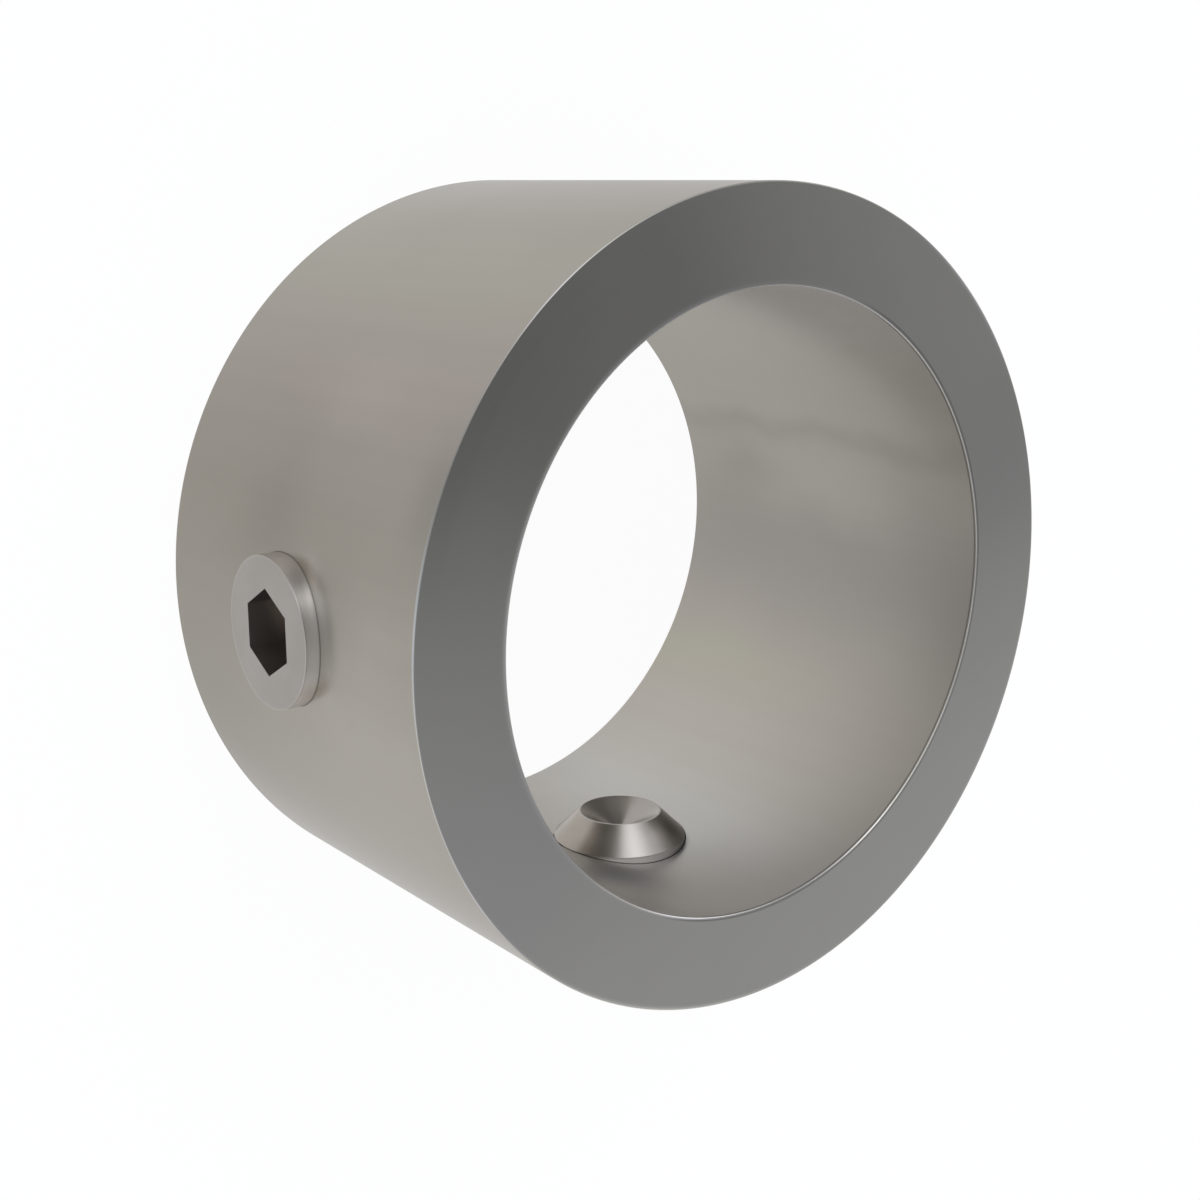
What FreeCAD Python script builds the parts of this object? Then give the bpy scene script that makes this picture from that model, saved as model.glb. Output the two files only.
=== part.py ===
import FreeCAD, Part
import math
import os

# Locking collar: a turned steel ring that slides over a tube and is locked on it by two
# set screws. The screws stand at a right angle to each other at mid-width, and their cup
# points bite into the tube. The ring stands on its rear face. Z runs along the bore from
# the rear face, X runs out through the side screw and Y out through the lower screw.
# Every length is in millimetres and every angle in degrees.

# What the collar is made for
tube_diameter = 33.7
bore_clearance = 0.2  # between tube and bore, on the radius

# Ring
ring_wall = 5.2
ring_width = 25.0
barrel_edge_round = 0.2
bore_edge_break = 0.2  # the lead-in at both ends of the bore, at 45 degrees

# Set screws: metric 8, cup point, hexagon socket, without their thread
screw_diameter = 8.0
screw_length = 8.0
screw_proud = 0.8  # how far the socket end stands out of the barrel
screw_gap = 0.05  # between screw and hole, on the radius
screw_edge_break = 0.1
point_cone_angle = 45.0  # between the cone's side and the screw's axis
cup_diameter = 5.0
cup_lip = 0.1  # flat ring left at the point, round the cup
cup_floor_angle = 30.0  # between the cup's side and a plane across the screw
socket_across_flats = 4.0
socket_depth = 3.5
socket_drill_angle = 31.0  # the same, for the cone that the pilot drill leaves
socket_corners = 6

# Worked out from the sizes above
bore_radius = tube_diameter / 2 + bore_clearance
ring_radius = bore_radius + ring_wall
screw_radius = screw_diameter / 2
hole_radius = screw_radius + screw_gap
cup_radius = cup_diameter / 2
socket_face = ring_radius + screw_proud
point_plane = socket_face - screw_length
screw_level = ring_width / 2

origin = FreeCAD.Vector(0, 0, 0)
along_bore = FreeCAD.Vector(0, 0, 1)
out_through_side = FreeCAD.Vector(1, 0, 0)
full_turn = 360.0
side_screw_turn = 0.0  # where each screw stands round the bore
lower_screw_turn = 90.0


def revolved(outline, axis):
    """A solid of revolution: the closed outline, a list of corner points, turned about an axis."""
    section = Part.Face(Part.makePolygon(outline + outline[:1]))
    return section.revolve(origin, axis, full_turn)


def circles_of_radius(solid, radius):
    """The solid's circular edges of one radius."""
    circles = [edge for edge in solid.Edges if isinstance(edge.Curve, Part.Circle)]
    return [edge for edge in circles if math.isclose(edge.Curve.Radius, radius)]


def turned_ring():
    """The ring as it leaves the lathe: barrel edges rounded, bore edges broken at 45 degrees."""
    outline = [
        FreeCAD.Vector(bore_radius, 0, bore_edge_break),
        FreeCAD.Vector(bore_radius + bore_edge_break, 0, 0),
        FreeCAD.Vector(ring_radius, 0, 0),
        FreeCAD.Vector(ring_radius, 0, ring_width),
        FreeCAD.Vector(bore_radius + bore_edge_break, 0, ring_width),
        FreeCAD.Vector(bore_radius, 0, ring_width - bore_edge_break),
    ]
    ring = revolved(outline, along_bore)
    return ring.makeFillet(barrel_edge_round, circles_of_radius(ring, ring_radius))


def screw_hole(turn):
    """The drilled way for one set screw, from the bore out through the barrel."""
    start = FreeCAD.Vector(0, 0, screw_level)
    hole = Part.makeCylinder(hole_radius, socket_face, start, out_through_side)
    hole.rotate(origin, along_bore, turn)
    return hole


def collar_ring():
    """The ring with its two screw holes."""
    return turned_ring().cut([screw_hole(side_screw_turn), screw_hole(lower_screw_turn)])


def screw_blank():
    """A set screw without its socket, turned about X: flat end, shank, cone and cup."""
    cone_length = (screw_radius - cup_radius) / math.tan(math.radians(point_cone_angle))
    cup_mouth = cup_radius - cup_lip
    cup_depth = cup_mouth * math.tan(math.radians(cup_floor_angle))
    outline = [
        FreeCAD.Vector(socket_face, 0, 0),
        FreeCAD.Vector(socket_face, screw_radius - screw_edge_break, 0),
        FreeCAD.Vector(socket_face - screw_edge_break, screw_radius, 0),
        FreeCAD.Vector(point_plane + cone_length, screw_radius, 0),
        FreeCAD.Vector(point_plane, cup_radius, 0),
        FreeCAD.Vector(point_plane, cup_mouth, 0),
        FreeCAD.Vector(point_plane + cup_depth, 0, 0),
    ]
    return revolved(outline, out_through_side)


def socket_hollow():
    """The hexagon for the key, with the cone of its pilot drill at the bottom."""
    corner_radius = socket_across_flats / 2 / math.cos(math.pi / socket_corners)
    corners = []
    for number in range(socket_corners + 1):
        turn = 2 * math.pi * number / socket_corners
        corners.append(
            FreeCAD.Vector(
                socket_face - socket_depth,
                corner_radius * math.cos(turn),
                corner_radius * math.sin(turn),
            )
        )
    hexagon = Part.Face(Part.makePolygon(corners)).extrude(out_through_side * socket_depth)
    drill_radius = socket_across_flats / 2
    drill_depth = drill_radius * math.tan(math.radians(socket_drill_angle))
    floor = FreeCAD.Vector(socket_face - socket_depth, 0, 0)
    drill_point = Part.makeCone(drill_radius, 0, drill_depth, floor, -out_through_side)
    return hexagon.fuse(drill_point)


def set_screw(turn):
    """One set screw in its place, turned round the bore to its hole."""
    screw = screw_blank().cut(socket_hollow())
    screw.translate(FreeCAD.Vector(0, 0, screw_level))
    screw.rotate(origin, along_bore, turn)
    return screw


os.makedirs("parts", exist_ok=True)
collar_ring().exportStep("parts/collar_ring.step")
set_screw(side_screw_turn).exportStep("parts/side_set_screw.step")
set_screw(lower_screw_turn).exportStep("parts/lower_set_screw.step")
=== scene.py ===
# %% [markdown]
# # A locking collar
# A locking collar is a short steel ring that is pushed over a tube and held there by set screws.
# This lesson gives the ring a turned steel finish and builds its two set screws with real threads.
# The solid model comes first, as a fixed frame. It says where everything is, in metres, with the
# bore's axis along Z and the ring's rear face on the floor. Nothing here moves or resizes it.

import math

import bmesh
import bpy
import numpy as np
from mathutils import Matrix, Vector


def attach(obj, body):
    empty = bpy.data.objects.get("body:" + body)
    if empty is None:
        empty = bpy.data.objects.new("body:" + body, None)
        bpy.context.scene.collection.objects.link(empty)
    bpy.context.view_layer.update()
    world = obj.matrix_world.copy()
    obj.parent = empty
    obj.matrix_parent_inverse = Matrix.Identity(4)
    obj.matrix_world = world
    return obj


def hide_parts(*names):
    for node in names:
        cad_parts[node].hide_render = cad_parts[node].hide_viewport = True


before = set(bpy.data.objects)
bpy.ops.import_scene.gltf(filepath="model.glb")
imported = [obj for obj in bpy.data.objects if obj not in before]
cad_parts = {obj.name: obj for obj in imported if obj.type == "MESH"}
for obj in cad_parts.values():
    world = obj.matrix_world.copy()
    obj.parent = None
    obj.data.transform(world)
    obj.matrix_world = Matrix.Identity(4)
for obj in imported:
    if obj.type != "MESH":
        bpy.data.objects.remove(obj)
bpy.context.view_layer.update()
mm = 0.001

# %% [markdown]
# ## The sizes that are drawn again
# The screws are made anew below, so their sizes are written once more, in millimetres, as a maker
# would read them from the drawing. Every shape below is worked out from these names.

# %% Sizes of the ring and of one set screw
ring_radius = 22.25
bore_radius = 17.05
ring_width = 25.0
screw_level = ring_width / 2
screw_radius = 4.0
screw_length = 8.0
socket_face = ring_radius + 0.8
point_plane = socket_face - screw_length
cup_radius = 2.5
cup_lip = 0.1
cup_floor_slope = math.tan(math.radians(30.0))
edge_break = 0.04
socket_across_flats = 4.0
socket_depth = 3.5
drill_slope = math.tan(math.radians(31.0))
thread_pitch = 1.25
print("a screw reaches from", round(point_plane, 2), "to", round(socket_face, 2), "mm off the axis")

# %% [markdown]
# ## The camera
# A camera is only a place, an aim and an upward direction. The picture shows the collar lying
# askew, as product pictures often do, so here the camera is rolled and the collar stays upright
# on its rear face. The three vectors are turned into the camera's matrix by two cross products,
# which is easier to read than three angles.

# %% A rolled camera looking down into the bore
camera_place = Vector((61.254, -22.323, 87.958)) * mm
camera_aim = Vector((1.019, 1.830, 11.877)) * mm
picture_up = Vector((-0.151, -0.970, -0.189))
camera_lens = 50.78

backward = (camera_place - camera_aim).normalized()
rightward = picture_up.cross(backward).normalized()
upward = backward.cross(rightward)
camera_data = bpy.data.cameras.new("camera")
camera_data.lens = camera_lens
camera_data.sensor_width = 36.0
camera_data.clip_start = 2 * mm
camera = bpy.data.objects.new("camera", camera_data)
camera_turn = Matrix((rightward, upward, backward)).transposed().to_4x4()
camera.matrix_world = Matrix.Translation(camera_place) @ camera_turn
bpy.context.scene.collection.objects.link(camera)
bpy.context.scene.camera = camera
bpy.context.scene.view_settings.view_transform = "Standard"
print("camera to aim:", round((camera_place - camera_aim).length / mm, 1), "mm")

# %% [markdown]
# ## Nodes written as sums
# A finish is a sum of small effects, and a node tree can be written like one. Each helper below
# makes one node, joins what it is given to its inputs, and returns its output. Numbers may be
# given in place of outputs.

# %% Helpers that make one node each
def join(tree, value, socket):
    """Puts an output or a plain value into an input socket."""
    if isinstance(value, bpy.types.NodeSocket):
        tree.links.new(value, socket)
    else:
        socket.default_value = value


def number(tree, operation, *values):
    """One Math node: the operation on one, two or three numbers."""
    node = tree.nodes.new("ShaderNodeMath")
    node.operation = operation
    for value, socket in zip(values, node.inputs):
        join(tree, value, socket)
    return node.outputs[0]


def arrow(tree, operation, *values):
    """One Vector Math node. A dot product or a length gives a number, the rest a vector."""
    node = tree.nodes.new("ShaderNodeVectorMath")
    node.operation = operation
    for value, socket in zip(values, node.inputs):
        join(tree, value, socket)
    gives_number = operation in ("DOT_PRODUCT", "LENGTH", "DISTANCE")
    return node.outputs["Value" if gives_number else "Vector"]


def blended(tree, amount, first, second, way="MIX"):
    """One Mix node for colours: the first colour, with the second laid over it by the amount."""
    node = tree.nodes.new("ShaderNodeMix")
    node.data_type = "RGBA"
    node.blend_type = way
    join(tree, amount, node.inputs[0])
    join(tree, first, node.inputs[6])
    join(tree, second, node.inputs[7])
    return node.outputs[2]


def clouds(tree, place, scale, detail=2.0, roughness=0.5, dimensions="3D"):
    """One Noise node, as a number round 0.5. A 1D noise takes a number for its place."""
    node = tree.nodes.new("ShaderNodeTexNoise")
    node.noise_dimensions = dimensions
    join(tree, place, node.inputs["W" if dimensions == "1D" else "Vector"])
    node.inputs["Scale"].default_value = scale
    node.inputs["Detail"].default_value = detail
    node.inputs["Roughness"].default_value = roughness
    return node.outputs["Factor"] if "Factor" in node.outputs else node.outputs[0]


def ramp(tree, value, low, high, to_low=0.0, to_high=1.0):
    """One Map Range node with a smooth step: low becomes to_low and high becomes to_high."""
    node = tree.nodes.new("ShaderNodeMapRange")
    node.interpolation_type = "SMOOTHSTEP"
    for given, socket in zip((value, low, high, to_low, to_high), node.inputs):
        join(tree, given, socket)
    return node.outputs[0]


# %% [markdown]
# ## The studio
# Steel has hardly any colour of its own. What is seen in it is the room, so the room is made with
# care: a white floor below, which the barrel and the bore mirror, an even cool light above, a
# bright window at one side with four weaker lights round about, and a dark corner high on the far
# side, which the front face mirrors. The room is a world whose brightness is a formula of the
# direction that is looked in: each light is the exponential of how closely that direction agrees
# with the light's own, and each dark place takes a share away by the same formula.

# %% A world of soft lights
def towards(azimuth, elevation):
    """The unit vector at an azimuth from +X and an elevation above the floor, in degrees."""
    turn = math.radians(azimuth)
    rise = math.radians(elevation)
    return Vector((math.cos(turn) * math.cos(rise), math.sin(turn) * math.cos(rise), math.sin(rise)))


def soft_light(tree, looking, azimuth, elevation, spread):
    """exp((cos(angle to the light) - 1) / (1 - cos(spread))): 1 at its centre and 1/e at the spread."""
    agreement = arrow(tree, "DOT_PRODUCT", looking, towards(azimuth, elevation))
    sharpness = 1 / (1 - math.cos(math.radians(spread)))
    off_centre = number(tree, "SUBTRACT", agreement, 1.0)
    return number(tree, "EXPONENT", number(tree, "MULTIPLY", off_centre, sharpness))


world = bpy.data.worlds.new("studio")
bpy.context.scene.world = world
world.use_nodes = True
room = world.node_tree
looking = arrow(room, "NORMALIZE", room.nodes.new("ShaderNodeTexCoord").outputs["Generated"])
even_light = 0.83
light_list = (
    ("window", -89, 34, 20, 2.2),
    ("the near side", 35, 30, 33, 0.95),
    ("low, on the far side", 156, 30, 9, 0.39),
    ("low, on the left", -142, 7, 12, 1.9),
    ("low, on the right", 80, 16, 18, 0.8),
)
brightness = even_light
for light_name, azimuth, elevation, spread, strength in light_list:
    light = soft_light(room, looking, azimuth, elevation, spread)
    light.node.label = light_name
    brightness = number(room, "MULTIPLY_ADD", light, strength, brightness)
dark_list = (
    ("dark corner, high on the far side", 171, 42, 12, 0.28),
    ("its darkest part", 173, 57, 12.5, 0.93),
)
for dark_name, azimuth, elevation, spread, share in dark_list:
    dark = soft_light(room, looking, azimuth, elevation, spread)
    dark.node.label = dark_name
    kept = number(room, "MULTIPLY_ADD", dark, -share, 1.0)
    brightness = number(room, "MULTIPLY", brightness, kept)
print("even light", even_light, "with", len(light_list), "lights and", len(dark_list), "dark places")

# %% [markdown]
# ### The white sweep
# A product stands on paper that curves up behind it, so towards the horizon the room turns plain
# white. Without it, steel that is seen from low down would mirror a blue band above a white floor.
# The turn goes by the upward part of the direction, the sine of its elevation, and what is
# brighter than white already, such as the low lights, stays as bright as it is.

# %% The room turns white towards the horizon
sweep_begins = 0.17
sweep_is_full = 0.09
cool_white = (0.87, 0.92, 1.0, 1)
plain_white = (1, 1, 1, 1)
up_part = arrow(room, "DOT_PRODUCT", looking, (0.0, 0.0, 1.0))
sweep = ramp(room, up_part, sweep_begins, sweep_is_full)
short_of_white = number(room, "MAXIMUM", number(room, "SUBTRACT", 1.0, brightness), 0.0)
brightness = number(room, "MULTIPLY_ADD", sweep, short_of_white, brightness)
background = room.nodes["Background"]
join(room, blended(room, sweep, cool_white, plain_white), background.inputs["Color"])
join(room, brightness, background.inputs["Strength"])
print("plain white below", round(math.degrees(math.asin(sweep_is_full)), 1), "degrees")

# %% [markdown]
# ## The floor
# The floor has to be white in the picture and white in the steel, and still take the collar's
# soft shadow. So most of what the camera and the mirrored rays see is a plain white emission of
# strength 1, and the rest is an ordinary matt white that the room lights and the collar shades.
# Every other ray sees the matt white alone. The floor lies a hair below the rear face, so that the
# two don't flicker into each other, and from below it is clear, so that the rear face shows.

# %% A white floor that keeps the shadow
floor_reach = 3.0
floor_gap = 0.02 * mm
floor_corners = 96
floor_mesh = bpy.data.meshes.new("floor")
rim = np.linspace(0, 2 * math.pi, floor_corners, endpoint=False)
rim_level = np.full(floor_corners, -floor_gap)
rim_points = np.column_stack((np.cos(rim) * floor_reach, np.sin(rim) * floor_reach, rim_level))
floor_mesh.from_pydata(rim_points.tolist(), [], [list(range(floor_corners))])
floor = bpy.data.objects.new("floor", floor_mesh)
bpy.context.scene.collection.objects.link(floor)
print("floor radius:", floor_reach, "m")

# %% The floor's paper
glow_share = 0.95
matt_white = (0.95, 0.95, 0.95, 1)
floor_material = bpy.data.materials.new("white_floor")
floor_material.use_nodes = True
paper = floor_material.node_tree
paper.nodes.clear()
seen_by = paper.nodes.new("ShaderNodeLightPath").outputs
seen = number(paper, "MAXIMUM", seen_by["Is Camera Ray"], seen_by["Is Glossy Ray"])
seen = number(paper, "MAXIMUM", seen, seen_by["Is Transmission Ray"])
matt = paper.nodes.new("ShaderNodeBsdfDiffuse")
matt.inputs["Color"].default_value = matt_white
glow = paper.nodes.new("ShaderNodeEmission")
glow.inputs["Strength"].default_value = 1.0
paper_mix = paper.nodes.new("ShaderNodeMixShader")
join(paper, number(paper, "MULTIPLY", seen, glow_share), paper_mix.inputs[0])
join(paper, matt.outputs[0], paper_mix.inputs[1])
join(paper, glow.outputs[0], paper_mix.inputs[2])
two_sides = paper.nodes.new("ShaderNodeMixShader")
join(paper, paper.nodes.new("ShaderNodeNewGeometry").outputs["Backfacing"], two_sides.inputs[0])
join(paper, paper_mix.outputs[0], two_sides.inputs[1])
join(paper, paper.nodes.new("ShaderNodeBsdfTransparent").outputs[0], two_sides.inputs[2])
join(paper, two_sides.outputs[0], paper.nodes.new("ShaderNodeOutputMaterial").inputs[0])
floor_material.use_transparent_shadow = False
floor_mesh.materials.append(floor_material)
print("share of plain white that is seen:", glow_share)

# %% [markdown]
# ## The thread
# The screws and their holes share one thread, a coarse right-hand one of 1.25 mm a turn. On the
# photographed part nothing of it shows, because the ends that stand out are smooth, but it is
# there as soon as a screw is backed out. It is written once, as a depth at a place along the
# screw and an angle round it, and both the screws and the holes are cut by it.

# %% The thread's depth
def thread_groove(along, angle):
    """How deep the thread is cut at a place along the axis and an angle, in mm: the distance from the crest's
    helix, less the crest's flat, times the slope of a 30 degree flank, with a rounded crest and root."""
    crest_half = thread_pitch / 16
    full_depth = 0.72
    crest_round = 0.04
    root_round = 0.16
    helix = along - thread_pitch * angle / (2 * math.pi)
    off_crest = np.abs(np.mod(helix + thread_pitch / 2, thread_pitch) - thread_pitch / 2)
    flank = (off_crest - crest_half) / math.tan(math.radians(30))
    cut = (flank + np.sqrt(flank ** 2 + crest_round ** 2)) / 2
    left = full_depth - cut
    return full_depth - (left + np.sqrt(left ** 2 + root_round ** 2)) / 2


def smooth_step(value, low, high):
    """0 below low, 1 above high, and 3t² - 2t³ between."""
    share = np.clip((value - low) / (high - low), 0, 1)
    return share * share * (3 - 2 * share)


# %% [markdown]
# ## The ring as one surface
# A ring is turned: one closed outline, carried once round the axis. The outline climbs the barrel,
# turns over a rounded edge onto the front face, drops through a broken edge into the bore and
# comes back over the rear face. Rows that lie close to each edge keep the broad faces flat and
# the edges crisp, because a smooth surface bends its light only between neighbouring rows.

# %% The ring's outline
front_round = 0.08
front_break = 0.03
rear_round = 0.15
rear_break = 0.07
round_power = 2.0
bevel_power = 1.15
beside_edge = 0.02
patch_half_height = 8.0
patch_row = 0.5


def climbing_rows(low_edge, high_edge):
    """Heights from one edge to the other, with a row close to each and even rows where the holes are cut."""
    low_patch = screw_level - patch_half_height
    high_patch = screw_level + patch_half_height
    even = np.arange(low_patch, high_patch + patch_row / 2, patch_row)
    ends = (low_edge, low_edge + beside_edge, (low_edge + low_patch) / 2)
    tops = ((high_patch + high_edge) / 2, high_edge - beside_edge, high_edge)
    return np.concatenate((ends, even, tops))


def quarter(steps, power):
    """A quarter of the curve |x|^p + |y|^p = 1, from (1, 0) to (0, 1), without its two ends. Power 2 is a
    round and a power near 1 a bevel."""
    lean = np.linspace(0, math.pi / 2, steps + 1)[1:-1]
    return np.cos(lean) ** (2 / power), np.sin(lean) ** (2 / power)


def face_rows(round_size, break_size):
    """Radii across a flat face, from the barrel's edge to the bore's, with a row close to each."""
    outer_flat = ring_radius - round_size
    inner_flat = bore_radius + break_size
    between = np.linspace(outer_flat - beside_edge, inner_flat + beside_edge, 10)
    return np.concatenate(([outer_flat], between, [inner_flat]))


def ring_outline():
    """Radius and height of the closed outline, in mm: barrel, front edge, front face, the bore's front edge,
    bore and back over the rear. An edge of size s is s times the quarter curve, set in by s."""
    out, up = quarter(10, round_power)
    broken, drop = quarter(8, bevel_power)
    barrel = climbing_rows(rear_round, ring_width - front_round)
    front = face_rows(front_round, front_break)
    bore = climbing_rows(rear_break, ring_width - front_break)[::-1]
    rear = face_rows(rear_round, rear_break)[::-1]
    pieces = (
        (np.full(len(barrel), ring_radius), barrel),
        (ring_radius - front_round + front_round * out, ring_width - front_round + front_round * up),
        (front, np.full(len(front), ring_width)),
        (bore_radius + front_break - front_break * drop, ring_width - front_break + front_break * broken),
        (np.full(len(bore), bore_radius), bore),
        (bore_radius + rear_break - rear_break * broken, rear_break - rear_break * drop),
        (rear, np.full(len(rear), 0.0)),
        (ring_radius - rear_round + rear_round * up, rear_round - rear_round * out),
    )
    return [np.concatenate(column) for column in zip(*pieces)]


outline_radius, outline_height = ring_outline()
print("the outline has", len(outline_radius), "rows")

# %% [markdown]
# ### Room for the two holes
# A round hole doesn't fit a square grid. So the grid leaves out a square of cells round each hole,
# on the barrel and in the bore, and a patch fills it: rings of points that start on the hole's
# rim and end on the square's border, point for point. The hole's own wall then joins the rim on
# the barrel to the rim in the bore, and a few turns of thread are cut into it. Everything is made
# for the hole on +X and turned by a quarter turn for the other one.

# %% Patches and threaded walls
ring_columns = 288
patch_columns = 16
hole_at_barrel = 4.015
hole_at_bore = 4.07
thread_room = 0.06
narrowest_crest = 3.42
hole_thread_begins = (17.6, 17.95)
hole_thread_ends = (19.3, 19.6)
ring_turn = 2 * math.pi * np.arange(ring_columns) / ring_columns
patch_half_turn = 2 * math.pi * patch_columns / ring_columns
border_steps = int(round(2 * patch_half_height / patch_row))


def patch_border():
    """Angle and height of the points round the square's border, anticlockwise from its lower right corner."""
    side = np.linspace(-1, 1, border_steps + 1)[:-1]
    one = np.ones(border_steps)
    return (np.concatenate((one, -side, -one, side)) * patch_half_turn,
            np.concatenate((side, one, -side, -one)) * patch_half_height + screw_level)


border_turn, border_height = patch_border()
rim_angle = -math.pi / 4 + 2 * math.pi * np.arange(len(border_turn)) / len(border_turn)


def hole_patch(surface_radius, hole_radius):
    """Points (radius·cos turn, radius·sin turn, height), where turn and height go from the hole's rim to
    the border in steps that grow outwards. On the rim, turn is the arcsine of y over the surface's radius."""
    steps, growth = 11, 1.4
    share = (np.linspace(0, 1, steps) ** growth)[:, None]
    rim_turn = np.arcsin(hole_radius * np.cos(rim_angle) / surface_radius)
    rim_height = screw_level + hole_radius * np.sin(rim_angle)
    turn = rim_turn + (border_turn - rim_turn) * share
    height = rim_height + (border_height - rim_height) * share
    return np.stack((surface_radius * np.cos(turn), surface_radius * np.sin(turn), height), axis=-1)


def hole_wall():
    """Points (x, r·cos a, level + r·sin a): x goes from the barrel to the bore at each angle, and r is the
    hole's radius, less a ridge that fits the screw's groove with a little room and fades at both ends."""
    from_barrel = np.sqrt(ring_radius ** 2 - (hole_at_barrel * np.cos(rim_angle)) ** 2)
    to_bore = np.sqrt(bore_radius ** 2 - (hole_at_bore * np.cos(rim_angle)) ** 2)
    share = np.linspace(0, 1, 96)[:, None]
    x = from_barrel + (to_bore - from_barrel) * share
    hole_radius = hole_at_barrel + (hole_at_bore - hole_at_barrel) * share
    angle = np.broadcast_to(rim_angle, x.shape)
    crest = np.maximum(screw_radius - thread_groove(x, angle) + thread_room, narrowest_crest)
    ridge = np.maximum(hole_radius - crest, 0)
    threaded = smooth_step(x, *hole_thread_begins) * (1 - smooth_step(x, *hole_thread_ends))
    r = hole_radius - ridge * threaded
    return np.stack((x, r * np.cos(angle), screw_level + r * np.sin(angle)), axis=-1)


def round_cells(rows, columns, first):
    """Four corners of every cell of a grid that closes on itself sideways: here, up, up and after, after."""
    row = np.arange(rows - 1)[:, None] * columns + first
    here = np.arange(columns)[None, :]
    after = (here + 1) % columns
    return np.stack((row + here, row + columns + here, row + columns + after, row + after), axis=-1)


# %% [markdown]
# ### Joining the ring
# The grid and the patches are put into one mesh and their doubled points on the borders are
# merged, which leaves a closed skin. Its sharp edges are the four rims of the holes.

# %% The ring's mesh
def turned_ring_mesh(name):
    """The outline carried round: (radius·cos turn, radius·sin turn, height), without the cells under the
    patches, and with a patch on the barrel, a patch in the bore and a wall for each of the two holes."""
    rows = len(outline_radius)
    grid = np.stack((outline_radius[:, None] * np.cos(ring_turn), outline_radius[:, None] * np.sin(ring_turn),
                     np.broadcast_to(outline_height[:, None], (rows, ring_columns))), axis=-1)
    points = [grid.reshape(-1, 3)]
    row = np.arange(rows)[:, None]
    column = np.arange(ring_columns)[None, :]
    next_row = (row + 1) % rows
    next_column = (column + 1) % ring_columns
    cells = np.stack((row * ring_columns + column, row * ring_columns + next_column,
                      next_row * ring_columns + next_column, next_row * ring_columns + column), axis=-1)
    middle_height = (outline_height[:, None] + outline_height[next_row]) / 2
    straight = np.abs(outline_radius[:, None] - outline_radius[next_row]) < 1e-9
    in_rows = straight & (np.abs(middle_height - screw_level) < patch_half_height)
    in_columns = np.zeros((1, ring_columns), dtype=bool)
    for start in (0, ring_columns // 4):
        in_columns[0, np.arange(start - patch_columns, start + patch_columns) % ring_columns] = True
    faces = [cells[~(in_rows & in_columns)].reshape(-1, 4)]
    count = len(points[0])
    for quarter_turn in (False, True):
        for shape, inwards in ((hole_patch(ring_radius, hole_at_barrel), False),
                               (hole_patch(bore_radius, hole_at_bore), True), (hole_wall(), True)):
            if quarter_turn:
                shape = np.stack((-shape[..., 1], shape[..., 0], shape[..., 2]), axis=-1)
            part = round_cells(shape.shape[0], shape.shape[1], count).reshape(-1, 4)
            faces.append(part[:, ::-1] if inwards else part)
            points.append(shape.reshape(-1, 3))
            count += len(points[-1])
    mesh = bpy.data.meshes.new(name)
    mesh.from_pydata(np.concatenate(points) * mm, [], np.concatenate(faces).tolist())
    joined = bmesh.new()
    joined.from_mesh(mesh)
    bmesh.ops.remove_doubles(joined, verts=joined.verts, dist=0.0005 * mm)
    print("open edges:", sum(1 for edge in joined.edges if not edge.is_manifold))
    joined.to_mesh(mesh)
    joined.free()
    mesh.polygons.foreach_set("use_smooth", np.ones(len(mesh.polygons), dtype=bool))
    mesh.set_sharp_from_angle(angle=math.radians(50))
    return mesh


ring = bpy.data.objects.new("turned_ring", turned_ring_mesh("turned_ring"))
bpy.context.scene.collection.objects.link(ring)
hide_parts("collar_ring")
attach(ring, "collar")
print("the ring has", len(ring.data.vertices), "points and", len(ring.data.polygons), "faces")

# %% [markdown]
# ## The ring's finish: turned steel
# The ring is turned from bar, faced at both ends and bored. Its surface is smooth to the eye, with
# a satin sheen, and very fine marks run round it where the tool passed. Soft clouds lie in its
# colour, some warmer and some greener: they are painted light, painted shade and painted
# reflections of the room. The marks run round the axis, so their noise is read along the height
# on the barrel and in the bore, and along the radius on the two faces. The clouds are read from
# the angle round the axis and the height.

# %% Reading places on the ring
steel = bpy.data.materials.new("satin_turned_steel")
steel.use_nodes = True
turned = steel.node_tree
turned_shader = turned.nodes["Principled BSDF"]
spot = turned.nodes.new("ShaderNodeTexCoord").outputs["Object"]
apart = turned.nodes.new("ShaderNodeSeparateXYZ")
join(turned, spot, apart.inputs[0])
across_x, across_y, height = apart.outputs
sideways = arrow(turned, "MULTIPLY", spot, (1.0, 1.0, 0.0))
radius = arrow(turned, "LENGTH", sideways)
along_tool = number(turned, "ADD", height, radius)
level_in_mm = number(turned, "DIVIDE", height, mm)
radius_in_mm = number(turned, "DIVIDE", radius, mm)
angle_round = number(turned, "DEGREES", number(turned, "ARCTAN2", across_y, across_x))
print("the ring's places: radius, height, angle, and the way across the tool marks")

# %% [markdown]
# ### Which surface it is
# The same steel covers the barrel, the bore, the faces and the walls of the holes, but each has
# its own tone, which in the bore is painted light and in the holes painted shade. So each surface
# has a mask, a number that is 1 on it and 0 off it, worked out from the radius and the height.
# Narrower masks follow the front edge of the bore and the front rim, where painted highlights lie.

# %% Masks for the ring's surfaces
def level_within(middle, reach):
    """1 where the height in mm is within the reach of the middle, else 0."""
    return number(turned, "COMPARE", level_in_mm, middle, reach)


def bell(value, middle, half_width):
    """exp(-((value - middle) / half_width)²)."""
    off = number(turned, "DIVIDE", number(turned, "SUBTRACT", value, middle), half_width)
    return number(turned, "POWER", math.exp(-1), number(turned, "MULTIPLY", off, off))


def long_side(first, second):
    """The root of first² + second², the distance over two sides at right angles."""
    return number(turned, "SQRT", number(turned, "MULTIPLY_ADD", first, first,
                                         number(turned, "MULTIPLY", second, second)))


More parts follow.
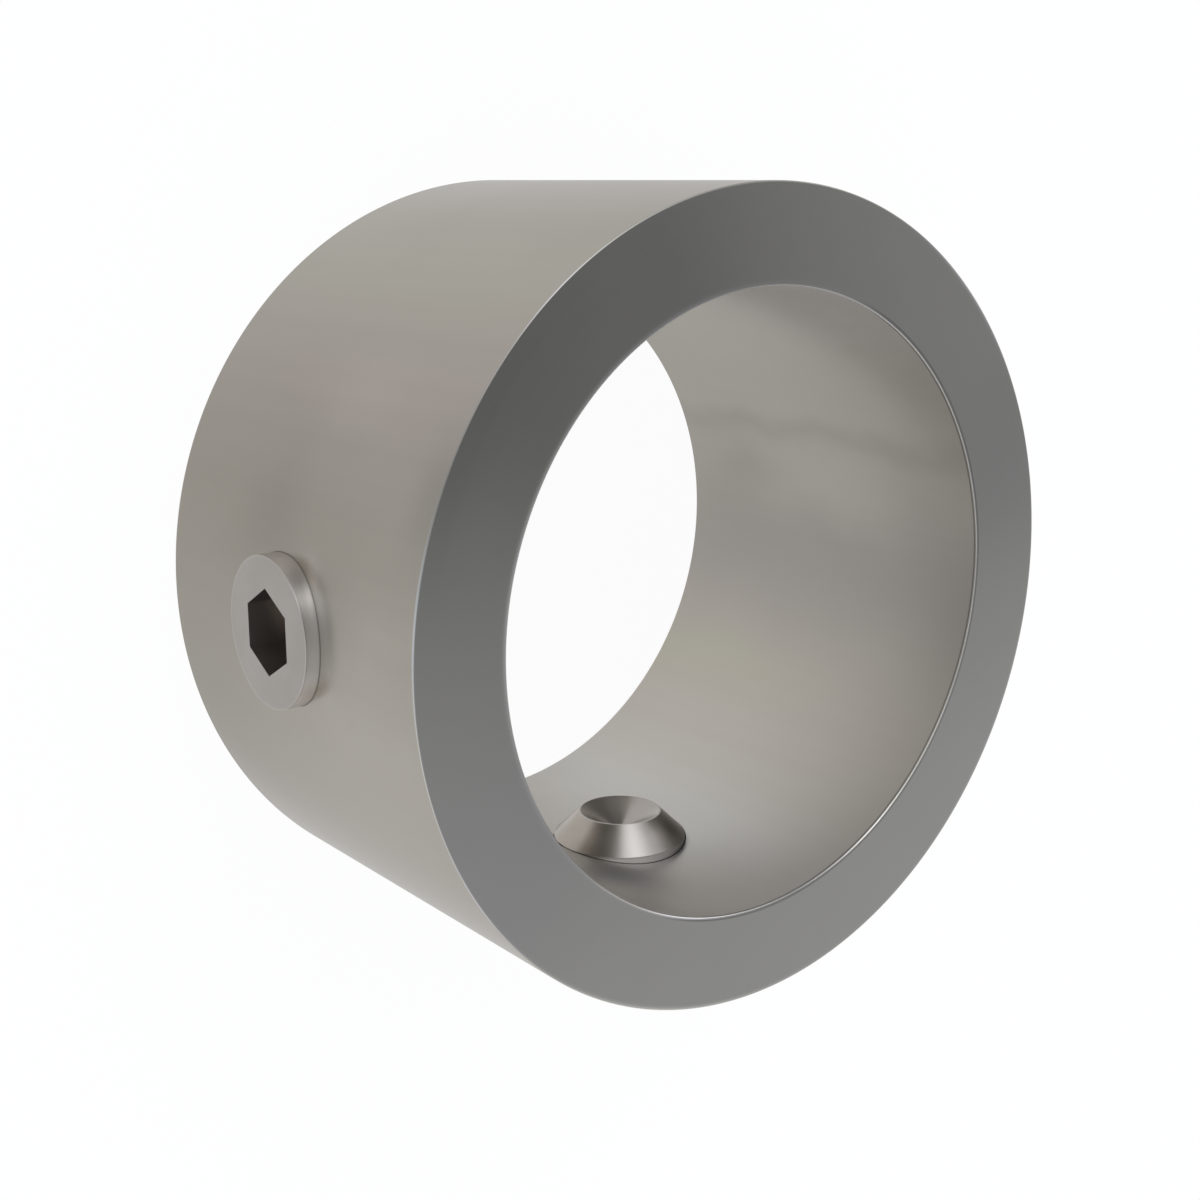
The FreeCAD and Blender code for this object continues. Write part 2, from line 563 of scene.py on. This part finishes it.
in_bore = ramp(turned, radius, (bore_radius + front_break) * mm, (bore_radius + front_break / 3) * mm)
on_barrel = ramp(turned, radius, (ring_radius - front_round) * mm, (ring_radius - front_round / 3) * mm)
on_neither = number(turned, "SUBTRACT", number(turned, "SUBTRACT", 1.0, in_bore), on_barrel)
on_front = number(turned, "MULTIPLY", on_neither, level_within(ring_width, 0.02))
in_hole = number(turned, "MULTIPLY", on_neither, level_within(screw_level, 6.0))
at_top = level_within(ring_width, 0.1)
at_rim = number(turned, "MULTIPLY", bell(radius_in_mm, ring_radius, 0.15), at_top)
off_edge = long_side(number(turned, "SUBTRACT", radius_in_mm, bore_radius + front_break / 2),
                     number(turned, "SUBTRACT", level_in_mm, ring_width - front_break / 2))
on_edge = bell(off_edge, 0.0, 0.06)
by_edge = number(turned, "MULTIPLY", bell(off_edge, 0.0, 0.16), on_front)
print("masks for barrel, bore, front face, holes, front rim and the bore's front edge")

# %% [markdown]
# ### The clouds
# The clouds paint light, shade and reflections of the room into the steel's colour. Each cloud is a
# soft spot, a bell curve of the distance from its middle, measured round the axis and along it, and
# it adds a little more or less of red, green and blue to the steel's own colour. Noise bends the
# angle, so that no cloud is a neat oval. An angle jumps by a full turn somewhere, so it is counted in
# two ways, from -180 to 180 and from 0 to 360 degrees, and each cloud is read from the count whose
# jump is far from it.
# 180 and from 0 to 360 degrees, and each cloud is read from the count whose jump is far from it.

# %% Places that the clouds are read from
cloud_bend = 14.0
cloud_noise = clouds(turned, spot, 130.0, 3.0)
unrest = number(turned, "SUBTRACT", cloud_noise, 0.5)
full_angle = number(turned, "WRAP", angle_round, 360.0, 0.0)


def place_at(angle, across, bend):
    """(angle + bend times the noise, across, 0): the noise moves it by up to half of bend either way."""
    node = turned.nodes.new("ShaderNodeCombineXYZ")
    join(turned, number(turned, "MULTIPLY_ADD", unrest, bend, angle), node.inputs[0])
    join(turned, across, node.inputs[1])
    return node.outputs[0]


signed = place_at(angle_round, level_in_mm, 0.0)
full = place_at(full_angle, level_in_mm, 0.0)
bent_signed = place_at(angle_round, level_in_mm, cloud_bend)
bent_full = place_at(full_angle, level_in_mm, cloud_bend)
barely_bent = place_at(angle_round, level_in_mm, 5.0)
by_radius = place_at(angle_round, radius_in_mm, 0.0)
print("a cloud is bent by up to", cloud_bend / 2, "degrees either way")


# %% Soft spots, and a list of them laid over the steel
def soft_spot(place, angle, across, half_angle, half_width):
    """exp(-(turn² + drift²)): turn is how far the place is from the spot's middle in angle, counted in half
    angles, and drift how far it is across, in height or distance, counted in half widths."""
    counted = (1 / half_angle, 1 / half_width, 0.0)
    middle = (-angle / half_angle, -across / half_width, 0.0)
    off = arrow(turned, "MULTIPLY_ADD", place, counted, middle)
    return number(turned, "POWER", math.exp(-1), arrow(turned, "DOT_PRODUCT", off, off))


def with_clouds(shade, mask, cloud_list):
    """shade + mask times the sum over all clouds of spot times change times the steel's colour. A cloud is
    its name, place, angle, height or distance, half angle, half width and change of the three colours."""
    total = (0.0, 0.0, 0.0)
    for cloud_name, place, angle, across, half_angle, half_width, change in cloud_list:
        cloud = soft_spot(place, angle, across, half_angle, half_width)
        cloud.node.label = cloud_name
        added = tuple(colour * share for colour, share in zip(steel_colour, change))
        total = arrow(turned, "MULTIPLY_ADD", cloud, added, total)
    print(len(cloud_list), "clouds, from", cloud_list[0][0])
    return arrow(turned, "MULTIPLY_ADD", mask, total, shade)


steel_colour = (0.343, 0.323, 0.288)
# The bore's colour is lighter than the steel's: painted light, where the bore's walls shade each other.
bore_colour_with_painted_light = (0.388, 0.366, 0.331)
shade = blended(turned, in_bore, (*steel_colour, 1), (*bore_colour_with_painted_light, 1))

# %% Painted highlights on the front edges
# Painted highlights: bright lines along the bore's front edge and the front rim, and a light band on the face
# beside the bore's edge, set angle by angle, with a few duller stretches of painted shade between them.
shade = with_clouds(shade, on_edge, (
    ("painted highlight on the bore's edge, by the lower screw", full, 68, 25, 11, 9, (1.9, 1.9, 2.1)),
    ("the same, nearer", full, 50, 25, 8, 9, (0.6, 0.6, 0.6)),
    ("dull, between them", full, 98, 25, 7, 9, (-0.3, -0.3, -0.3)),
    ("painted highlight, below", full, 122, 25, 9, 9, (1.3, 1.3, 1.3)),
    ("painted highlight, right", full, 144, 25, 13, 9, (0.7, 0.7, 0.7)),
    ("painted highlight, far right", full, 166, 25, 10, 9, (0.35, 0.35, 0.35)),
))
shade = with_clouds(shade, by_edge, (
    ("light band on the face, near side", signed, -32, 25, 46, 9, (1.1, 1.1, 1.2)),
))
shade = with_clouds(shade, at_rim, (
    ("light rim, below", full, 76, 25, 26, 9, (0.8, 0.8, 0.8)),
    ("light rim, right", full, 150, 25, 36, 9, (0.4, 0.4, 0.4)),
    ("light rim, above", full, 226, 25, 12, 9, (0.9, 0.9, 1.1)),
))
shade = with_clouds(shade, at_top, (
    ("painted highlight on the rim, near side", by_radius, -8, ring_radius, 10, 0.07, (0.22, 0.30, 0.44)),
    ("painted highlight on the rim, below it", by_radius, 32, ring_radius, 9, 0.07, (0.16, 0.17, 0.26)),
    ("painted highlight on the rim, over the window", by_radius, -52, ring_radius, 5, 0.07, (0.16, 0.12, 0.26)),
))

# %% Clouds on the barrel
# Painted light, painted shade and painted reflections of the room on the barrel, with warmer and greener
# tints among them.
shade = with_clouds(shade, on_barrel, (
    ("wide olive, round the side screw", bent_signed, -16, 7, 18, 24, (-0.17, -0.18, -0.20)),
    ("small dark, above the side screw", bent_signed, -16, 11, 9, 3, (-0.07, -0.07, -0.07)),
    ("rose, towards the far side", bent_signed, -34, 16, 9, 18, (0.01, -0.035, 0.0)),
    ("green beside it", bent_signed, -54, 14, 10, 24, (0.07, 0.085, 0.05)),
    ("dull, below the side screw", bent_signed, 20, 1, 20, 9, (-0.13, -0.13, -0.14)),
    ("light, right of the side screw", bent_signed, 12, 21, 15, 10, (0.13, 0.14, 0.14)),
    ("dull, front edge of the barrel", signed, -22, 25, 8, 2, (-0.17, -0.16, -0.16)),
    ("light, above the side screw", bent_signed, -33, 16, 6, 4, (0.06, 0.065, 0.07)),
    ("dull, far side of the barrel", barely_bent, -88, 14, 10, 30, (-0.33, -0.33, -0.34)),
    ("dull, near side of the barrel", bent_signed, 48, 14, 12, 30, (-0.14, -0.15, -0.17)),
))

# %% Clouds in the bore
# Painted light, painted shade and painted reflections in the bore: lighter at the front edge, and duller
# patches and a dark line on the far wall.
shade = with_clouds(shade, in_bore, (
    ("cool light, beside the lower screw", bent_full, 107, 7, 20, 19, (0.34, 0.39, 0.47)),
    ("light olive, middle of the bore", bent_full, 138, 7, 22, 19, (0.24, 0.23, 0.19)),
    ("rose arch in the bore", bent_full, 147, 5, 17, 15, (0.01, -0.04, 0.03)),
    ("green under the arch", bent_full, 147, 4, 10, 12, (-0.02, 0.05, -0.055)),
    ("dull green, far wall", bent_full, 174, 14, 14, 30, (-0.14, -0.14, -0.12)),
    ("dull, far wall at the front edge", bent_full, 160, 25, 14, 4, (-0.12, -0.12, -0.12)),
    ("dark line along the bore", bent_full, 203, 14, 2.8, 30, (-0.11, -0.11, -0.11)),
    ("dull, far wall towards the rear", bent_full, 190, 4, 14, 4, (-0.08, -0.08, -0.08)),
    ("dull, far wall near the front", bent_full, 193, 20.5, 13, 3, (-0.07, -0.07, -0.07)),
    ("its branch", bent_full, 193, 6, 4, 3, (-0.06, -0.06, -0.06)),
    ("light between them", bent_full, 190, 14, 8, 6, (0.06, 0.06, 0.06)),
    ("light, front edge by the lower screw", bent_full, 84, 26, 22, 10, (0.62, 0.66, 0.76)),
    ("light, front edge on the other side", bent_full, 252, 27, 24, 10, (1.05, 1.10, 1.25)),
))

# %% Clouds on the front face
# Painted reflections and painted shade on the front face, duller in places and a little lighter beside the
# far side.
shade = with_clouds(shade, on_front, (
    ("dull, face on the far side", bent_full, 195, 25, 16, 5, (-0.11, -0.11, -0.09)),
    ("light beside it", bent_full, 250, 25, 18, 5, (0.04, 0.04, 0.06)),
    ("dull, face over the window", bent_signed, -72, 25, 10, 5, (-0.06, -0.06, -0.04)),
    ("dull, face above the side screw", bent_signed, -34, 25, 13, 5, (-0.07, -0.06, -0.08)),
    ("dull, face by the near side", bent_signed, 30, 25, 26, 5, (-0.06, -0.06, -0.03)),
    ("dull, face below", bent_full, 145, 25, 25, 5, (-0.04, -0.04, -0.02)),
    ("dull rim of the face", by_radius, -23, 22.0, 13, 1.3, (-0.10, -0.09, -0.10)),
))

# %% [markdown]
# ### Round the screws
# A ring of painted light lies close round the side screw, lifting the barrel where it mirrors the
# screw's dark shank. A thin dark line of painted shade sits at the foot of each screw, and painted
# shade darkens the bore beside the lower one. All of these are read from the angle round the screw
# and the distance from its axis, and a mask keeps them to the surface and the side of the ring where
# that screw is.

# %% Painted light and shade round the screws
off_level = number(turned, "SUBTRACT", level_in_mm, screw_level)


def round_a_screw(sideways_in_mm, first_angle):
    """(angle round the screw's axis, distance from that axis, 0): the angle goes from the sideways direction
    towards the front face, and is counted from the first angle to a full turn more."""
    angle = number(turned, "DEGREES", number(turned, "ARCTAN2", off_level, sideways_in_mm))
    angle = number(turned, "WRAP", angle, first_angle + 360.0, first_angle)
    return place_at(angle, long_side(off_level, sideways_in_mm), 0.0)


round_side = round_a_screw(number(turned, "DIVIDE", across_y, mm), -80.0)
round_lower = round_a_screw(number(turned, "DIVIDE", across_x, mm), -180.0)
by_side_screw = number(turned, "MULTIPLY", on_barrel, number(turned, "GREATER_THAN", across_x, 0.0))
by_lower_screw = number(turned, "MULTIPLY", in_bore, number(turned, "GREATER_THAN", across_y, 0.0))
# A ring of painted light round the side screw, and a dark line of painted shade at its foot.
shade = with_clouds(shade, by_side_screw, (
    ("painted light ring", round_side, 118, 4.5, 22, 0.70, (0.76, 0.80, 0.88)),
    ("its brightest part", round_side, 133, 4.4, 10, 0.50, (0.68, 0.70, 0.74)),
    ("its far end", round_side, 75, 4.8, 16, 0.50, (0.13, 0.14, 0.17)),
    ("dark foot", round_side, 100, 4.02, 70, 0.06, (-0.55, -0.55, -0.55)),
))
# Painted shade in the bore in front of and beside the lower screw, and at its foot.
shade = with_clouds(shade, by_lower_screw, (
    ("dark place in front of the lower screw", round_lower, 51, 6.7, 20, 2.1, (-0.52, -0.51, -0.49)),
    ("shade on its far side", round_lower, 112, 5.5, 22, 3.0, (-0.13, -0.13, -0.13)),
    ("dark foot of the lower screw", round_lower, 122, 4.1, 18, 0.18, (-0.60, -0.60, -0.60)),
))

# %% [markdown]
# ### Lines, marks and sheen
# Under the clouds lie finer things: a mottle of a few percent all over, faint lines along the
# barrel that the drawn bar has kept, and the tool's marks, which change the sheen and, hardly,
# the surface. A dark line of painted shade lies beside the bore's edge, on the far side, and
# painted shade darkens the walls of the holes. Steel's edges do not flash white at a grazing look,
# because oil and fine scratches dull them, so the tint at the grazing angle is a little under white.

# %% Mottle, drawn lines and tool marks
mottle_depth = 0.07
mark_depth = 0.01
lines_scale = 19.0
marks_scale = 4500.0
mottle = number(turned, "MULTIPLY_ADD", cloud_noise, mottle_depth, 1 - mottle_depth / 2)
outward = arrow(turned, "NORMALIZE", sideways)
lines = number(turned, "SUBTRACT", clouds(turned, outward, lines_scale, 3.0, 0.6), 0.5)
lines_depth = number(turned, "MULTIPLY_ADD", on_barrel, 0.08, number(turned, "MULTIPLY", in_bore, 0.04))
drawn_lines = number(turned, "MULTIPLY_ADD", lines, lines_depth, 1.0)
fine_marks = clouds(turned, along_tool, marks_scale, 3.0, 0.7, "1D")
mark_tone = number(turned, "MULTIPLY_ADD", fine_marks, mark_depth, 1 - mark_depth / 2)
print("the mottle's noise moves the tone by", mottle_depth, "and the marks by", mark_depth)

# %% Painted shade beside the bore's edge and in the holes
painted_line_middle, painted_line_half = 157.0, 88.0
off_painted_line = number(turned, "WRAP", number(turned, "SUBTRACT", angle_round, painted_line_middle), 180.0, -180.0)
painted_line_side = ramp(turned, number(turned, "ABSOLUTE", off_painted_line), painted_line_half + 6.0, painted_line_half - 6.0)
painted_dark_line = number(turned, "MULTIPLY", bell(off_edge, 0.135, 0.05), painted_line_side)
# Painted shade: a thin dark line beside the far side of the bore's front edge, and darker walls in the holes.
painted_darkening = number(turned, "MULTIPLY", painted_dark_line, number(turned, "MULTIPLY_ADD", in_bore, 0.14, 0.46))
painted_darkening = number(turned, "MULTIPLY_ADD", in_hole, 0.7, painted_darkening)
print("the painted dark line reaches", painted_line_half, "degrees either way from", painted_line_middle)

# %% Colour, sheen and surface of the turned steel
variation = number(turned, "MULTIPLY", number(turned, "MULTIPLY", mottle, drawn_lines), mark_tone)
variation = number(turned, "MULTIPLY", variation, number(turned, "SUBTRACT", 1.0, painted_darkening))
join(turned, arrow(turned, "MULTIPLY", shade, variation), turned_shader.inputs["Base Color"])
oil_film = number(turned, "MULTIPLY", in_bore, 0.16)
join(turned, number(turned, "SUBTRACT", 1.0, oil_film), turned_shader.inputs["Metallic"])
turned_shader.inputs["Specular Tint"].default_value = (0.84, 0.83, 0.82, 1)
sheen = ramp(turned, fine_marks, 0.25, 0.75, 0.255, 0.270)
join(turned, number(turned, "MULTIPLY_ADD", in_bore, 0.10, sheen), turned_shader.inputs["Roughness"])
mark_bump = turned.nodes.new("ShaderNodeBump")
mark_bump.inputs["Strength"].default_value = 0.005
mark_bump.inputs["Distance"].default_value = 0.00002
join(turned, fine_marks, mark_bump.inputs["Height"])
join(turned, mark_bump.outputs[0], turned_shader.inputs["Normal"])
ring.data.materials.append(steel)
print("the ring wears", steel.name)

# %% [markdown]
# ## One set screw as one surface
# A set screw is a threaded rod with a hexagon socket in one end and a cup point on the other. Its
# whole skin is one line carried round the axis: from the middle of the cup, over the lip, up the
# cone, along the thread, over the edge, across the flat end, down the six walls of the socket and
# to the drill's cone at its bottom. Only the radius changes with the angle, in the hexagon and in
# the thread, so a grid of stations by angles holds everything, and it closes at both poles.

# %% The line from the cup to the bottom of the socket
columns = 240
around = np.linspace(0, 2 * math.pi, columns, endpoint=False)
cone_top = point_plane + screw_radius - cup_radius
screw_thread_begins = (17.1, 17.6)
screw_thread_ends = (20.9, 21.4)


def hexagon_radius(angle):
    """Half the distance across flats, divided by the cosine of the angle off the middle of the flat."""
    off_flat = np.mod(angle, math.pi / 3) - math.pi / 6
    return socket_across_flats / 2 / np.cos(off_flat)


def set_screw_stations():
    """The rows of the grid: the place along the axis, the radius at each angle, and whether it is an edge.
    The thread's depth is the groove times a smooth step up at its start and one down at its end."""
    along = []
    reach = []
    edges = []

    def station(place, size, edge=False):
        along.append(place)
        reach.append(np.broadcast_to(size, columns))
        edges.append(edge)

    cup_mouth = cup_radius - cup_lip
    for size in np.linspace(0, cup_mouth, 10):
        station(point_plane + (cup_mouth - size) * cup_floor_slope, size, size == cup_mouth)
    station(point_plane, cup_radius, True)
    for size in np.linspace(cup_radius, screw_radius, 8)[1:]:
        station(point_plane + size - cup_radius, size, size == screw_radius)
    for place in np.linspace(cone_top, socket_face - edge_break, 132)[1:]:
        cut_here = smooth_step(place, *screw_thread_begins) * (1 - smooth_step(place, *screw_thread_ends))
        station(place, screw_radius - thread_groove(place, around) * cut_here)
    for lean in np.linspace(0, math.pi / 2, 6)[1:]:
        size = screw_radius - edge_break + edge_break * math.cos(lean)
        station(socket_face - edge_break + edge_break * math.sin(lean), size)
    hexagon = hexagon_radius(around)
    outer = screw_radius - edge_break
    for share in np.linspace(0, 1, 10)[1:]:
        station(socket_face, outer + (hexagon - outer) * share, share == 1)
    for place in np.linspace(socket_face, socket_face - socket_depth, 12)[1:]:
        station(place, hexagon, place == socket_face - socket_depth)
    drill = 1.96
    for share in np.linspace(0, 1, 5)[1:]:
        station(socket_face - socket_depth, hexagon + (drill - hexagon) * share, share == 1)
    for size in np.linspace(drill, 0, 9)[1:]:
        station(socket_face - socket_depth - (drill - size) * drill_slope, size)
    return np.array(along), np.array(reach), np.array(edges)


along_screw, reach_screw, edge_rows = set_screw_stations()
edge_list = np.flatnonzero(edge_rows)
hexagon_row, hexagon_floor_row = edge_list[-3], edge_list[-2]
print("grid of one screw:", len(along_screw), "stations by", columns, "angles")
print("its socket's walls go from station", hexagon_row, "to", hexagon_floor_row)

# %% [markdown]
# ### From the grid to a mesh
# The first and the last station have no radius, so each is one point, a pole, with a fan of
# triangles. Everything between is four-sided. The screw lies along +X at the level of its hole,
# and the lower one is the same screw turned by a quarter turn about the ring's axis. Edges are
# marked sharp by their station, so the thread stays smooth and the lip and the hexagon crisp.
# Each point also keeps the distance walked along the line, for the finish to follow.

# %% Screws as meshes
def screw_mesh(name, quarter_turn):
    """Points: (along, reach·cos, level + reach·sin), for the second screw turned from +X to +Y."""
    rows = len(along_screw)
    x = np.broadcast_to(along_screw[:, None], (rows, columns))
    y = reach_screw * np.cos(around)
    z = screw_level + reach_screw * np.sin(around)
    if quarter_turn:
        x, y = -y, x
    grid = np.stack((x, y, z), axis=-1) * mm
    middle = grid[1:-1].reshape(-1, 3)
    points = np.concatenate((grid[:1, 0], middle, grid[-1:, 0]))

    low = 1 + np.arange(rows - 3)[:, None] * columns
    high = low + columns
    here = np.arange(columns)
    after = (here + 1) % columns
    quads = np.stack((low + here, high + here, high + after, low + after), axis=-1).reshape(-1, 4)
    first = 1
    last = 1 + (rows - 3) * columns
    tip = len(points) - 1
    cup_fan = np.stack((np.zeros(columns, int), first + here, first + after), axis=-1)
    drill_fan = np.stack((np.full(columns, tip), last + after, last + here), axis=-1)
    mesh = bpy.data.meshes.new(name)
    mesh.from_pydata(points, [], quads.tolist() + cup_fan.tolist() + drill_fan.tolist())
    return mesh


def walked_distance():
    """Length along the line at the first angle, in mm, one number a station."""
    steps = np.hypot(np.diff(along_screw), np.diff(reach_screw[:, 0]))
    return np.concatenate(([0.0], np.cumsum(steps)))


def mark_screw(mesh):
    """Smooth faces, and sharp edges along the stations named as edges and down the socket's six corners.
    Each point keeps its walked distance and each face the painted shade of its wall, 1 outside the socket."""
    rows = len(along_screw)
    row_of = np.concatenate(([0], np.repeat(np.arange(1, rows - 1), columns), [rows - 1]))
    column_of = np.concatenate(([0], np.tile(np.arange(columns), rows - 2), [0]))
    ends = np.empty(len(mesh.edges) * 2, dtype=np.int32)
    mesh.edges.foreach_get("vertices", ends)
    edge_row = row_of[ends.reshape(-1, 2)]
    edge_column = column_of[ends.reshape(-1, 2)]
    on_station = (edge_row[:, 0] == edge_row[:, 1]) & edge_rows[edge_row[:, 0]]
    on_walls = (edge_row.min(axis=1) >= hexagon_row) & (edge_row.max(axis=1) <= hexagon_floor_row)
    down_wall = (edge_column[:, 0] == edge_column[:, 1]) & (edge_column[:, 0] % (columns // 6) == 0)
    mesh.polygons.foreach_set("use_smooth", np.ones(len(mesh.polygons), dtype=bool))
    sharp_edge = mesh.attributes.new("sharp_edge", "BOOLEAN", "EDGE")
    sharp_edge.data.foreach_set("value", on_station | (on_walls & down_wall))
    walked = mesh.attributes.new("walked", "FLOAT", "POINT")
    walked.data.foreach_set("value", walked_distance()[row_of].astype(np.float32))
    body_rows = np.repeat(np.arange(1, rows - 2), columns)
    face_row = np.concatenate((body_rows, np.zeros(columns), np.full(columns, rows)))
    face_wall = np.tile(np.arange(columns) // (columns // 6), rows - 1)
    tones = np.where(face_row >= hexagon_row, np.array(painted_wall_shades)[face_wall], 1.0)
    painted_wall_shade = mesh.attributes.new("painted_wall_shade", "FLOAT", "FACE")
    painted_wall_shade.data.foreach_set("value", tones.astype(np.float32))
    mesh.update()


# %% Both screws
# Painted shade: each of the socket's six walls gets a lighter or darker tone of its own.
painted_wall_shades = (1.0, 1.0, 1.0, 0.74, 1.05, 0.98)
screws = {}
for name, node, body, quarter_turn in (
    ("side_screw_threaded", "side_set_screw", "side_screw", False),
    ("lower_screw_threaded", "lower_set_screw", "lower_screw", True),
):
    mesh = screw_mesh(name, quarter_turn)
    mark_screw(mesh)
    piece = bpy.data.objects.new(name, mesh)
    bpy.context.scene.collection.objects.link(piece)
    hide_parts(node)
    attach(piece, body)
    screws[name] = piece
    print(name, "has", len(mesh.vertices), "points and", len(mesh.polygons), "faces")

# %% [markdown]
# ## The screws' finish
# The screws are machined finer than the ring and polished, so they mirror the window more sharply:
# that makes the bright and dark bands round the cone of the lower one, with spots of painted light
# and shade laid on them. Their tool marks run round the screw's own axis, so they are read from the
# distance walked along its surface. The same distance tells the parts apart: the cup, the cone, the
# plain bands or lands on either side of the thread, which are lightened with painted light, the flat
# end and the socket.

# %% Parts of the screw, by the distance walked
polish = bpy.data.materials.new("polished_screw_steel")
polish.use_nodes = True
bright = polish.node_tree
bright_shader = bright.nodes["Principled BSDF"]
walk = bright.nodes.new("ShaderNodeAttribute")
walk.attribute_name = "walked"
walk_in_mm = walk.outputs["Fac"]
screw_spot = bright.nodes.new("ShaderNodeTexCoord").outputs["Object"]
walked = walked_distance()


def stretch(rise_from, rise_to, fall_from, fall_to):
    """A smooth step up over the first two distances, times a smooth step down over the other two."""
    return number(bright, "MULTIPLY", ramp(bright, walk_in_mm, rise_from, rise_to),
                  ramp(bright, walk_in_mm, fall_to, fall_from))


cone_start = walked[edge_list[1]]
cone_end = walked[np.flatnonzero(along_screw > cone_top)[0]]
land_ends = 17.5
thread_start = walked[np.flatnonzero(along_screw > land_ends)[0]]
thread_end = walked[np.flatnonzero(along_screw > screw_thread_ends[1])[0]]
face_start = walked[np.flatnonzero(along_screw >= socket_face - 1e-6)[0]]
socket_start = walked[hexagon_row]
in_cup = ramp(bright, walk_in_mm, cone_start, cone_start - 0.1)
on_cone = stretch(cone_start - 0.1, cone_start + 0.1, cone_end - 0.1, cone_end + 0.1)
lower_land = stretch(cone_end - 0.1, cone_end + 0.1, thread_start - 0.3, thread_start)
outer_land = stretch(thread_end, thread_end + 0.3, face_start - 0.2, face_start)
on_face = ramp(bright, walk_in_mm, face_start - 0.1, face_start + 0.1)
in_socket = ramp(bright, walk_in_mm, socket_start, socket_start + 0.1)
print("walked in mm to cone, shank, flat end and socket:",
      [round(float(place), 2) for place in (cone_start, cone_end, face_start, socket_start)])

# %% [markdown]
# ### Painted light and shade, and scale
# The lands are lightened the most with painted light, and small soft spots on them, on the cone and
# in the cup are painted brighter or duller, as painted light and painted shade. Each is a bell curve
# of the distance from a point on the screw. Each of the socket's six walls has a painted shade of its
# own, and the socket is painted a little darker near its mouth. Scale from hardening has left it
# browner than the outside. The ground cone is a bit warmer.

# %% Painted light on the lands, and spots of painted light and shade
lower_land_painted_light = 0.75
outer_land_painted_light = 0.45
face_lift = -0.16
lands = number(bright, "ADD", lower_land, outer_land)
lift = number(bright, "MULTIPLY_ADD", lower_land, lower_land_painted_light, 1.0)
lift = number(bright, "MULTIPLY_ADD", outer_land, outer_land_painted_light, lift)
lift = number(bright, "MULTIPLY_ADD", on_face, face_lift, lift)
# Spots of painted light and painted shade on the lands, the cone and the cup.
painted_light_and_shade_spots = (
    ("side screw, lower edge", lands, (22.7, 3.0, 15.2), 0.9, 0.30),
    ("side screw, upper right", lands, (22.7, -3.15, 15.0), 0.9, -0.40),
    ("side screw, top", lands, (22.7, -3.9, 13.3), 1.0, 0.28),
    ("lower screw, left", lands, (3.9, 16.8, 11.8), 3.0, 0.80),
    ("lower screw, right", lands, (-0.8, 16.8, 16.4), 2.0, -0.55),
    ("cone, left", on_cone, (2.97, 15.8, 13.8), 0.7, 0.30),
    ("cone, right", on_cone, (-0.5, 15.8, 15.7), 0.6, 0.42),
    ("cone, far right", on_cone, (-1.7, 15.8, 15.25), 0.7, -0.33),
    ("cup, left rim", in_cup, (1.9, 15.3, 12.5), 0.7, -0.37),
    ("cup, far left", in_cup, (-1.1, 15.4, 11.0), 0.9, 0.32),
    ("cup, near its middle", in_cup, (0.6, 15.9, 11.8), 0.4, 0.45),
)
for spot_name, mask, middle, reach, change in painted_light_and_shade_spots:
    off_spot = arrow(bright, "DISTANCE", screw_spot, tuple(mm * part for part in middle))
    off_spot = number(bright, "DIVIDE", off_spot, reach * mm)
    painted_spot = number(bright, "POWER", math.exp(-1), number(bright, "MULTIPLY", off_spot, off_spot))
    painted_spot.node.label = spot_name
    lift = number(bright, "MULTIPLY_ADD", number(bright, "MULTIPLY", painted_spot, mask), change, lift)
print(len(painted_light_and_shade_spots), "worn spots on the screws")

# %% The socket's walls
# Painted shade: the walls keep their painted shades, and the socket is darker near its mouth.
mouth_depth = 2.4
mouth_painted_shade = 0.88
wall = bright.nodes.new("ShaderNodeAttribute")
wall.attribute_name = "painted_wall_shade"
deeper = ramp(bright, walk_in_mm, socket_start, socket_start + mouth_depth, mouth_painted_shade, 1.0)
socket_lift = number(bright, "SUBTRACT", number(bright, "MULTIPLY", deeper, wall.outputs["Fac"]), 1.0)
lift = number(bright, "MULTIPLY_ADD", in_socket, socket_lift, lift)
print("the socket's mouth has", mouth_painted_shade, "of the tone deeper in")

# %% Polished screw steel
darker_steel = (0.350, 0.322, 0.296, 1)
lighter_steel = (0.378, 0.350, 0.325, 1)
screw_noise = clouds(bright, screw_spot, 420.0, 3.0)
screw_tone = blended(bright, ramp(bright, screw_noise, 0.3, 0.7), darker_steel, lighter_steel)
screw_shade = arrow(bright, "MULTIPLY", screw_tone, lift)
cone_tint = (1.02, 1.0, 0.955, 1)
socket_tint = (1.0, 0.955, 0.91, 1)
screw_shade = blended(bright, on_cone, screw_shade, cone_tint, "MULTIPLY")
screw_shade = blended(bright, in_socket, screw_shade, socket_tint, "MULTIPLY")
join(bright, screw_shade, bright_shader.inputs["Base Color"])
bright_shader.inputs["Metallic"].default_value = 0.88
screw_marks = clouds(bright, walk_in_mm, 14.0, 3.0, 0.7, "1D")
join(bright, ramp(bright, screw_marks, 0.25, 0.75, 0.258, 0.268), bright_shader.inputs["Roughness"])
screw_bump = bright.nodes.new("ShaderNodeBump")
screw_bump.inputs["Strength"].default_value = 0.003
screw_bump.inputs["Distance"].default_value = 0.00002
join(bright, screw_marks, screw_bump.inputs["Height"])
join(bright, screw_bump.outputs[0], bright_shader.inputs["Normal"])
for piece in screws.values():
    piece.data.materials.append(polish)
print("the screws wear", polish.name)
